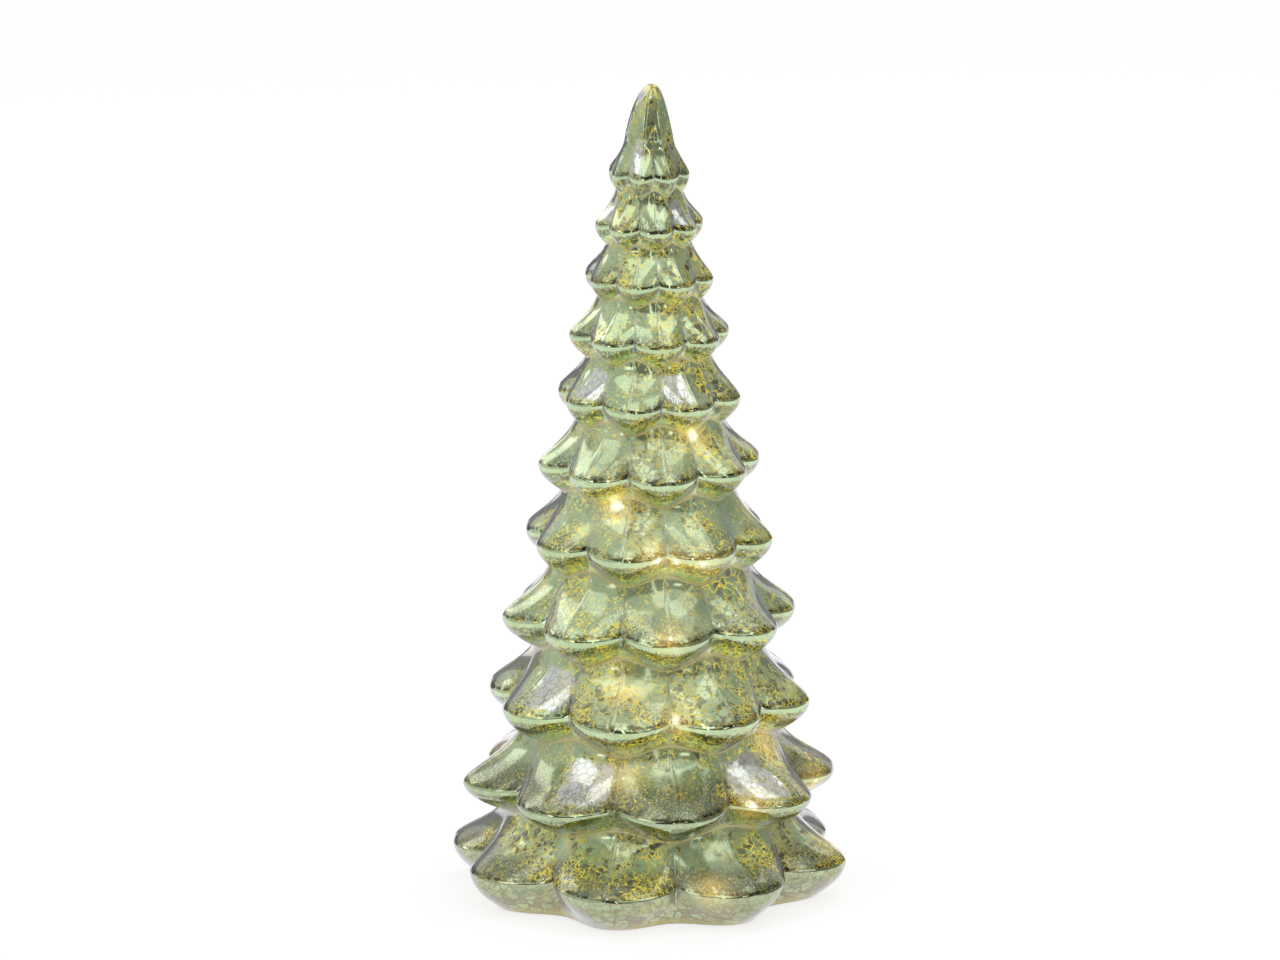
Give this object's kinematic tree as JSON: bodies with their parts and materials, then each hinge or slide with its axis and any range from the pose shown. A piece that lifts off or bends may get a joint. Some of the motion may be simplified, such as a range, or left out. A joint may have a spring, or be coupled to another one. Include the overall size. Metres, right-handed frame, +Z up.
{
  "type": "lighted glass christmas tree",
  "caption": "Free-standing blown silvered-glass Christmas tree with scalloped tiers, lit from inside by a wound lamp string on a post, with a battery base, hinged door and slide switch.",
  "frame": {"origin": "middle of the face that the rubber pads stand on, under the tree's axis", "axes": "+Z up along the tree's axis, -Y towards the lobe of the lowest tier that faces the viewer, +X towards the battery door's hinge"},
  "size_m": [0.1468, 0.1468, 0.3],
  "materials": {
    "silvered_glass": "green-tinted blown glass, crackle-silvered on the inside, polished outside",
    "seal_silicone": "milky silicone",
    "base_plastic": "moulded, fine spark texture",
    "screw_steel": "zinc plated",
    "post_acrylic": "clear moulded",
    "lamp_wire": "enamelled copper",
    "lamp_epoxy": "clear drops, warm white when lit",
    "board_laminate": "solder-masked laminate",
    "chip_resin": "moulded resin",
    "resistor_enamel": "enamelled",
    "knob_plastic": "moulded",
    "cell_jacket": "plain wrapped jacket",
    "contact_steel": "nickel plated",
    "lead_red": "insulated lead",
    "lead_black": "insulated lead",
    "pad_rubber": "matt"
  },
  "bodies": {
    "tree": {"glass_tree": "silvered_glass", "base_gasket": "seal_silicone", "base_housing": "base_plastic", "base_lid": "base_plastic", "lid_screws": "screw_steel", "light_post": "post_acrylic", "post_cap": "post_acrylic", "led_wire": "lamp_wire", "led_lamps": "lamp_epoxy", "circuit_board": "board_laminate", "board_screws": "screw_steel", "timer_chip": "chip_resin", "timer_crystal": "contact_steel", "series_resistor": "resistor_enamel", "switch_can": "contact_steel", "battery_front": "cell_jacket", "battery_middle": "cell_jacket", "battery_rear": "cell_jacket", "contact_springs": "contact_steel", "bridge_plates": "contact_steel", "terminal_plates": "contact_steel", "positive_lead": "lead_red", "negative_lead": "lead_black", "rubber_pads": "pad_rubber"},
    "knob": {"switch_knob": "knob_plastic"},
    "door": {"battery_door": "base_plastic", "door_screw": "screw_steel"}
  },
  "joints": [
    {"name": "switch_slide", "type": "slide", "parent": "tree", "child": "knob", "axis": [1, 0, 0], "range_m": [0, 0.004]},
    {"name": "door_hinge", "type": "hinge", "parent": "tree", "child": "door", "pos_m": [0.0279, 0, 0.0022], "axis": [0, -1, 0], "range_deg": [0, 95]}
  ]
}
